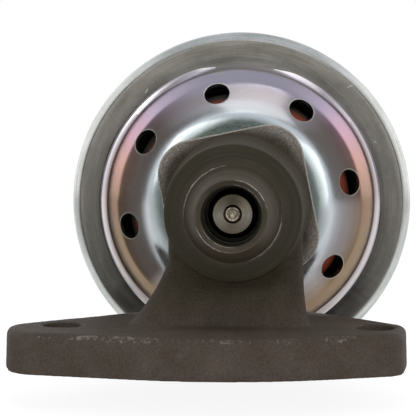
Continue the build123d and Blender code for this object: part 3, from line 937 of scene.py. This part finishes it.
# the plating's tone along the radius carries painted light: dark greenish grey next to the pad as painted
# shade, a pale band at the first bend and a near-white bead as painted highlights
plate_and_painted_light = add(
    tree, "ValToRGB", {"Fac": run},
    ((0.10, "#6E7874"), (0.22, "#BCC3C4"), (0.27, "#D3DADD"), (0.40, "#C7C6C9"), (0.48, "#BDB6B6"),
     (0.60, "#B5AAA6"), (0.74, "#D6CDD6"), (0.82, "#D8D0DA"), (0.88, "#EFE9EC")),
)
thick = add(
    tree, "ValToRGB", {"Fac": run},
    ((0.40, "#000000"), (0.55, "#6E6E6E"), (0.70, "#FFFFFF"), (0.82, "#F0F0F0"),
     (0.92, "#484848")),
)
height = add(tree, "SeparateXYZ", {0: direction}, out="Z")
level = add(tree, "MapRange", (height, -0.5, 1.0))
film = add(
    tree, "ValToRGB", {"Fac": level},
    ((0.15, "#A38A6C"), (0.38, "#B08E78"), (0.56, "#D6A89B"), (0.70, "#D9AEC0"), (0.84, "#BFAFC6"),
     (1.00, "#BDB9C6")),
)
colour = add(tree, "Mix", {0: thick, 6: plate_and_painted_light, 7: film}, **COLOURS)
print("film bands run from radius", FILM_IN_R, "to", FILM_OUT_R, "mm")

# %% Finish: zinc dichromate, the painted highlights on the lips of the punched holes
spot = add(tree, "TexCoord", out="Object")
nearest = 1.0  # metres, further than any hole
for centre in vent_centres:
    off = add(tree, "VectorMath", (spot, tuple(centre)), out=1, operation="DISTANCE")
    nearest = add(tree, "Math", (nearest, off), operation="MINIMUM")
# a painted highlight on each hole's lip, strong on the side away from the stem and faint on the side towards
# it
lip = add(tree, "MapRange", (radius, 24.6, 27.6, 0.15, 0.85))
for clear, full in ((0.38, 0.22), (0.02, 0.10)):  # mm outside the hole
    limits = (VENT_R + clear) * MM, (VENT_R + full) * MM
    share = add(tree, "MapRange", (nearest, *limits))
    lip = add(tree, "Math", (lip, share), operation="MULTIPLY")
colour = add(tree, "Mix", {0: lip, 6: colour, 7: "#CDD2C6"}, **COLOURS)
metal = add(tree, "MapRange", {0: lip, 3: 1.0, 4: 0.35})
feed(tree, surface, Base_Color=colour, Metallic=metal)
print("lips of", len(vent_centres), "holes stand", VENT_R + 0.3, "mm from their centres")

# %% Finish: zinc dichromate, its gloss
MASK_FULL_R, MASK_END_R = 17.4, 19.0  # the gasket masked the flat bottom out to here
mottle = polar_grain(tree, place, 16.0, 1.2, Detail=4.0, Roughness=0.65)
flat = add(tree, "MapRange", (radius, MASK_END_R, MASK_FULL_R))
dull, bright = (
    add(tree, "MapRange", (mottle, 0.3, 0.7, low, high))
    for low, high in ((0.20, 0.42), (0.13, 0.22))
)
rough = add(tree, "Mix", {0: flat, 2: bright, 3: dull}, data_type="FLOAT")
bump = add(tree, "Bump", {"Strength": 0.10, "Distance": 0.05 * MM, "Height": mottle})
feed(tree, surface, Roughness=rough, Normal=bump)
dish.data.materials.append(dichromate)
print("the masked flat is dull out to radius", MASK_END_R, "mm")

# %% [markdown]
# ## Rolled steel
# The cover is zinc-flashed steel. The crimping rollers have worked its lip to a dull grey, darker
# towards the raw edge, with fine streaks round it and faint strokes across. The fold that they ran
# on is burnished, and painted brighter still as a highlight. The lip is painted lighter at its top
# and darker at its bottom, as light from above falls on it.

# %% Finish: rolled steel, its worked tone
rolled_steel, tree, surface = finish("rolled_steel", Metallic=1.0)
place = stem_place(tree)
radius, _, direction = place
streaks = polar_grain(tree, place, 1.5, 6.0, Detail=4.0, Roughness=0.7)
strokes = polar_grain(tree, place, 95.0, 0.35, Detail=2.0)
cloud = polar_grain(tree, place, 3.0, 0.35, Detail=4.0, Roughness=0.6)
faint = add(tree, "MapRange", (strokes, 0.3, 0.7, -0.05, 0.05))
worked = add(tree, "Math", (streaks, faint), operation="ADD")
marks = add(tree, "ValToRGB", {"Fac": worked}, ((0.25, "#D0D0D0"), (0.75, "#FFFFFF")))
across = add(tree, "MapRange", (radius, LIP_R, RIM_R))
# near the rim the tone turns near-white: the burnished fold, made brighter still as a painted highlight
grey = add(
    tree, "ValToRGB", {"Fac": across},
    ((0.00, "#84817D"), (0.08, "#76736E"), (0.25, "#86827C"), (0.60, "#908B85"), (0.70, "#96928B"),
     (0.76, "#DADBD9"), (0.83, "#FAFCFA")),
)
stained = add(tree, "ValToRGB", {"Fac": cloud}, ((0.35, "#D9DBD6"), (0.65, "#FFFFFF")))
tone = grey
for layer in (marks, stained):
    layers = {0: 1.0, 6: tone, 7: layer}
    tone = add(tree, "Mix", layers, **COLOURS, blend_type="MULTIPLY")
print("the lip is worked from radius", LIP_R, "to", RIM_R, "mm")

# %% Finish: rolled steel, its scratches
# one end's place from the stem in mm, the lean in degrees and the length in mm
SCRATCHES = ((24.9, 27.0, 22, 2.6), (-22.6, 25.6, 62, 1.6), (31.2, 14.6, -35, 1.2))
ray = add(tree, "VectorMath", {0: direction, "Scale": radius}, operation="SCALE")
scored = 0.0
for x, z, lean, reach in SCRATCHES:
    run, rise = math.cos(math.radians(lean)), math.sin(math.radians(lean))
    from_end = add(tree, "VectorMath", (ray, (x, 0, z)), operation="SUBTRACT")
    along, aside = (
        add(tree, "VectorMath", (from_end, line), out="Value", operation="DOT_PRODUCT")
        for line in ((run, 0, rise), (-rise, 0, run))
    )
    aside = add(tree, "Math", {0: aside}, operation="ABSOLUTE")
    score = 1.0
    ends = ((along, 0.0, 0.5), (along, reach, reach - 0.5), (aside, 0.14, 0.03))
    for reading, clear, full in ends:
        share = add(tree, "MapRange", (reading, clear, full))
        score = add(tree, "Math", (score, share), operation="MULTIPLY")
    scored = add(tree, "Math", (scored, score), operation="MAXIMUM")
tone = add(tree, "Mix", {0: scored, 6: tone, 7: "#B2B0AB"}, **COLOURS)
print("scratches:", len(SCRATCHES))

# %% Finish: rolled steel, its burnished fold, its painted top light and its gloss
BURNISH_START_R, BURNISH_FULL_R = 38.2, 38.9
height = add(tree, "SeparateXYZ", {0: direction}, out="Z")
# painted light: the lip is lighter at its top and darker at its bottom, as light from above falls on it; the
# fold keeps one level
painted_top_light = add(tree, "MapRange", (height, -0.6, 1.0, 0.78, 1.45))
burnished = add(tree, "MapRange", (radius, BURNISH_START_R, BURNISH_FULL_R))
painted_top_light = add(tree, "Mix", {0: burnished, 2: painted_top_light, 3: 1.1}, data_type="FLOAT")
tone = add(tree, "HueSaturation", {"Value": painted_top_light, "Color": tone})
dull = add(tree, "MapRange", (cloud, 0.3, 0.7, 0.32, 0.42))
rough = add(tree, "Mix", {0: burnished, 2: dull, 3: 0.20}, data_type="FLOAT")
bump = add(tree, "Bump", {"Strength": 0.06, "Distance": 0.04 * MM, "Height": worked})
feed(tree, surface, Base_Color=tone, Roughness=rough, Normal=bump)
cover.data.materials.append(rolled_steel)
print("the fold is burnished outside radius", BURNISH_FULL_R, "mm")

# %% [markdown]
# ## Turned steel, rubber and the small parts
# The pintle is stainless steel with the facing cut's rings, painted darker at its top and bottom as
# shade, and the stem's end was peened: dark in its groove, bright where the tool rubbed. The
# diaphragm is silicone-faced fabric: orange, matt and faintly woven, with painted shade round its
# edge. Screws, washers and plates are plain zinc and the guide is bronze.

# %% Finish: turned steel
RINGS_PER_MM = 6.0
turned_steel, tree, surface = finish("turned_stainless_steel", Metallic=1.0, Anisotropic=0.8)
round_cut = add(tree, "Tangent", direction_type="RADIAL", axis="Y")
place = stem_place(tree)
rings = polar_grain(tree, place, 0.4, RINGS_PER_MM, Detail=3.0, Roughness=0.7)
tone = add(tree, "ValToRGB", {"Fac": rings}, ((0.3, "#7C766B"), (0.7, "#A49C90")))
# painted shade: the face is darker at its top, where the bore's upper lip shades it, and at its bottom,
# leaving its sides brightest
height = add(tree, "SeparateXYZ", {0: place[2]}, out="Z")
level = add(tree, "MapRange", (height, -1.0, 1.0))
painted_shade = add(
    tree, "ValToRGB", {"Fac": level},
    ((0.0, "#B4B0A6"), (0.45, "#FFFFFF"), (0.70, "#E4E0D8"), (1.0, "#8C887E")),
)
tone = add(tree, "Mix", {0: 1.0, 6: tone, 7: painted_shade}, **COLOURS, blend_type="MULTIPLY")
rough = add(tree, "MapRange", (rings, 0.3, 0.7, 0.28, 0.42))
bump = add(tree, "Bump", {"Strength": 0.35, "Distance": 0.03 * MM, "Height": rings})
feed(tree, surface, Tangent=round_cut, Base_Color=tone, Roughness=rough, Normal=bump)
pintle.data.materials.append(turned_steel)
print("facing rings to a mm:", RINGS_PER_MM)

# %% Finish: diaphragm rubber
WEAVE_MM, DUST_MM = 0.45, 4.0
SHADE_START_R, SHADE_FULL_R = 23.2, 25.2
rubber, tree, surface = finish("orange_diaphragm_rubber", Roughness=0.62, Specular_IOR_Level=0.4)
place = add(tree, "TexCoord", out="Object")
weave = add(
    tree, "TexVoronoi", {"Vector": place, "Scale": 1 / (WEAVE_MM * MM)}, distance="CHEBYCHEV"
)
dust = add(tree, "TexNoise", {"Vector": place, "Scale": 1 / (DUST_MM * MM), "Detail": 3.0})
orange = add(tree, "ValToRGB", {"Fac": dust}, ((0.3, "#A8380F"), (0.7, "#D0501C")))
radius, _, direction = stem_place(tree)
# painted shade: the rubber darkens outwards, further round to the upper left, where the vent holes look into
# the dark roll
UPPER_LEFT = (-0.8, 0, 0.6)
shift = add(tree, "VectorMath", (direction, UPPER_LEFT), out=1, operation="DOT_PRODUCT")
shift = add(tree, "Math", (shift, 0.6), operation="MULTIPLY")
reach = add(tree, "Math", (radius, shift), operation="ADD")
painted_shade = add(tree, "MapRange", (reach, SHADE_START_R, SHADE_FULL_R))
tone = add(tree, "Mix", {0: painted_shade, 6: orange, 7: "#28251B"}, **COLOURS)
bump = add(tree, "Bump", {"Strength": 0.3, "Distance": 0.05 * MM, "Height": weave})
feed(tree, surface, Base_Color=tone, Normal=bump)
for piece in (centre_half, rim_half):
    piece.data.materials.append(rubber)
print("the weave repeats every", WEAVE_MM, "mm")

# %% Finishes: the small parts


def dress(node_names, material):
    """Give CAD nodes a finish."""
    for name in node_names:
        nodes[name].data.materials.clear()
        nodes[name].data.materials.append(material)
        nodes[name].data.set_sharp_from_angle(angle=math.radians(35))


def worked_metal(name, dark, light, roughness, grain_mm, streak=1.0):
    """A metal with tone and gloss that vary over a real grain size."""
    material, tree, surface = finish(name, Metallic=1.0)
    place = add(tree, "TexCoord", out="Object")
    drawn = add(tree, "VectorMath", (place, (1, streak, 1)), operation="MULTIPLY")
    size = {"Scale": 1 / (grain_mm * MM), "Detail": 4.0, "Roughness": 0.6}
    grain = add(tree, "TexNoise", {"Vector": drawn, **size})
    tone = add(tree, "ValToRGB", {"Fac": grain}, ((0.3, dark), (0.7, light)))
    low, high = roughness
    gloss = add(tree, "MapRange", (grain, 0.3, 0.7, low, high))
    bump = add(tree, "Bump", {"Strength": 0.15, "Distance": 0.03 * MM, "Height": grain})
    feed(tree, surface, Base_Color=tone, Roughness=gloss, Normal=bump)
    return material


zinc = worked_metal("clear_zinc_plate", "#A9A9A6", "#C6C8C8", (0.26, 0.38), 1.2)
soot_steel = worked_metal("sooted_seat_steel", "#2A2820", "#403C33", (0.55, 0.70), 0.8)
bronze = worked_metal("sintered_bronze", "#8A6A40", "#B08B55", (0.40, 0.55), 0.4)
wire = worked_metal("oiled_spring_wire", "#4E4F52", "#73757A", (0.30, 0.42), 0.9, 0.2)
peened = worked_metal("peened_stem_steel", "#463F30", "#BFB3A0", (0.16, 0.28), 1.4)
dress(
    ["gas_deflector", "seal_retainer", "shell_screws", "lock_washers", "stem_collar"]
    + ["lower_plate", "piston_cup", "stem_washer", "vacuum_nipple"],
    zinc,
)
dress(["valve_seat"], soot_steel)
dress(["stem_guide"], bronze)
stem.data.materials.append(peened)
coil.data.materials.clear()
coil.data.materials.append(wire)
print("worked metals:", [metal.name for metal in (zinc, soot_steel, bronze, wire, peened)])

# %% [markdown]
# ## Gasket and packing
# The gasket on the pad is pressed fibre, and the packing round the stem is dull black graphite.
# Both are noise at the size of a fibre or a flake.

# %% Finish: gasket fibre
FIBRE_MM = 0.3
gasket_fibre, tree, surface = finish("gasket_fibre", Roughness=0.7, Specular_IOR_Level=0.4)
place = add(tree, "TexCoord", out="Object")
fibre = add(tree, "TexNoise", {"Vector": place, "Scale": 1 / (FIBRE_MM * MM), "Detail": 3.0})
tone = add(tree, "ValToRGB", {"Fac": fibre}, ((0.3, "#ABA398"), (0.7, "#E4DED4")))
bump = add(tree, "Bump", {"Strength": 0.3, "Distance": 0.05 * MM, "Height": fibre})
feed(tree, surface, Base_Color=tone, Normal=bump)
dress(["body_gasket"], gasket_fibre)
print("fibres are", FIBRE_MM, "mm apart")

# %% Finish: graphite packing
FLAKE_MM = 0.6
graphite, tree, surface = finish("graphite_packing", Roughness=0.5, Metallic=0.3)
place = add(tree, "TexCoord", out="Object")
flake = add(tree, "TexNoise", {"Vector": place, "Scale": 1 / (FLAKE_MM * MM), "Detail": 2.0})
tone = add(tree, "ValToRGB", {"Fac": flake}, ((0.3, "#1C1C1E"), (0.7, "#34343A")))
feed(tree, surface, Base_Color=tone)
dress(["stem_seal"], graphite)
print("flakes are", FLAKE_MM, "mm apart")

# %% [markdown]
# ## The studio
# Bright plating shows the room it stands in. White paper behind and below gives the rim and the
# steep wall their bright edges, soft boxes beside the camera and overhead light the bends, and the
# darker room at the sides draws the dark bands on the cone.

# %% Floor
FLOOR_Z, FLOOR_HALF = -7.35 * MM, 3.0
floor_mesh = bpy.data.meshes.new("studio_floor")
floor_mesh.from_pydata(
    [(x * FLOOR_HALF, y * FLOOR_HALF, FLOOR_Z) for x, y in ((-1, -1), (1, -1), (1, 1), (-1, 1))],
    [],
    [(0, 1, 2, 3)],
)
floor = new_object("studio_floor", floor_mesh)
print("the paper lies", round(FLOOR_Z / MM, 2), "mm from the mounting face")

# %% [markdown]
# ## Grey cards on the paper
# In a studio, grey cards laid beside bright metal give it something dark to mirror. One fans out at
# each side of the rim. They could be meshes, but as a tone of the paper they show in the plating
# and hide from the camera.

# %% Lay the grey cards
CARD_START, CARD_BACK = 25.4, 27.0  # mm from the stem to where a fan opens, aside and back
paper = bpy.data.materials.new("white_paper")
tree = empty_tree(paper)
place = add(tree, "TexCoord", out="Object")
ground = add(tree, "SeparateXYZ", {0: place}).node.outputs
aside = add(tree, "Math", (ground["X"], STEM_X * MM), operation="SUBTRACT")
aside = add(tree, "Math", {0: aside}, operation="ABSOLUTE")
run = add(tree, "Math", (aside, CARD_START * MM), operation="SUBTRACT")
back = add(tree, "Math", (ground["Y"], CARD_BACK * MM), operation="SUBTRACT")
lean = add(tree, "Math", (back, run), operation="DIVIDE")
card = add(tree, "MapRange", (ground["X"], -0.02, 0.02, 1.0, 0.45))
for reading, clear, full in ((lean, 0.30, 0.05), (lean, -0.95, -0.50), (run, 12 * MM, 22 * MM)):
    part = add(tree, "MapRange", (reading, clear, full))
    card = add(tree, "Math", (card, part), operation="MULTIPLY")
tones = {6: "#F4F4F4", 7: "#85817B"}
lying = add(tree, "Mix", {0: card, **tones}, **COLOURS)
print("the cards start", CARD_START, "mm aside of the stem")

# %% Light the paper
# the camera sees white paper, mostly by its own glow, and metal sees it glow only beside the cards
rays = add(tree, "LightPath").node.outputs
metal_sees = (rays["Is Glossy Ray"], rays["Is Transmission Ray"])
mirrored = add(tree, "Math", metal_sees, operation="MAXIMUM")
white_glow = add(tree, "MapRange", {0: card, 3: 0.15, 4: 0.0})
mirrored = add(tree, "Math", (mirrored, white_glow), operation="MULTIPLY")
seen = add(tree, "Math", (rays["Is Camera Ray"], 0.90), operation="MULTIPLY")
glow_share = add(tree, "Math", (seen, mirrored), operation="MAXIMUM")
tones = {6: lying, 7: "#7C7C7C"}
shade = add(tree, "Mix", {0: rays["Is Camera Ray"], **tones}, **COLOURS)
matt = add(tree, "BsdfDiffuse", {"Color": shade})
glow = add(tree, "Emission", {"Color": "#FFFFFF", "Strength": glow_share})
both = add(tree, "AddShader", (matt, glow))
add(tree, "OutputMaterial", {"Surface": both})
floor.data.materials.append(paper)
print("paper nodes:", len(tree.nodes))

# %% [markdown]
# ## The room
# Plating mirrors the whole room, so its greys run in rings from straight behind the valve to
# straight behind the camera, with a curtain at the left and a pale ceiling.

# %% Room
world = bpy.data.worlds.new("studio_room")
bpy.context.scene.world = world
tree = empty_tree(world)
place = add(tree, "TexCoord", out="Generated")
way = add(tree, "SeparateXYZ", {0: place}).node.outputs
turned_back = add(tree, "Math", {0: way["Y"]}, operation="ARCCOSINE")
share = add(tree, "Math", (turned_back, math.pi), operation="DIVIDE")
# share is 0 straight behind the valve and 1 straight behind the camera
room = add(
    tree, "ValToRGB", {"Fac": share},
    ((0.00, "#FFFFFF"), (0.46, "#FFFFFF"), (0.53, "#807C79"), (0.71, "#7C7876"), (0.77, "#DFE3E8"),
     (0.83, "#DFE3E8"), (0.90, "#727874")),
)
band = add(
    tree, "ValToRGB", {"Fac": share},
    ((0.49, "#000000"), (0.55, "#FFFFFF"), (0.65, "#FFFFFF"), (0.71, "#000000")),
)
left = add(tree, "MapRange", (way["X"], -0.1, -0.7, 0.0, 0.9))
curtain = add(tree, "Math", (band, left), operation="MULTIPLY")
room = add(tree, "Mix", {0: curtain, 6: room, 7: "#6A655F"}, **COLOURS)
overhead = add(tree, "MapRange", (way["Z"], 0.62, 0.90))
lit = add(tree, "Mix", {0: overhead, 6: room, 7: "#BEC1C7"}, **COLOURS)
to_camera = add(tree, "LightPath", out="Is Camera Ray")
tones = {6: lit, 7: "#FFFFFF"}
seen = add(tree, "Mix", {0: to_camera, **tones}, **COLOURS)
back = add(tree, "Background", {"Color": seen, "Strength": 1.0})
add(tree, "OutputWorld", {"Surface": back})
print("room nodes:", len(tree.nodes))

# %% [markdown]
# ## The soft boxes
# Square lamps light the front. Their power comes from the radiance wanted, so that a box can
# change its size and still look as bright.

# %% Soft boxes


def soft_box(name, place, size, radiance):
    """A square lamp that faces the valve. Its power gives it this radiance, where 1 is white."""
    data = bpy.data.lights.new(name, "AREA")
    data.shape, data.size = "SQUARE", size
    data.energy = radiance * math.pi * size * size
    lamp = new_object(name, data)
    lamp.location = place
    lamp.rotation_mode = "QUATERNION"
    lamp.rotation_quaternion = (on_stem(0, 30, 0) - lamp.location).to_track_quat("-Z", "Y")
    print(name, "is", round((lamp.location - on_stem(0, 30, 0)).length, 2), "m from the valve")


soft_box("overhead_box", Vector((0.103, -0.335, 0.745)), 0.55, 0.70)
soft_box("right_box", Vector((0.375, -0.846, 0.183)), 0.45, 1.2)
soft_box("left_box", Vector((-0.327, -0.831, 0.310)), 0.45, 1.35)
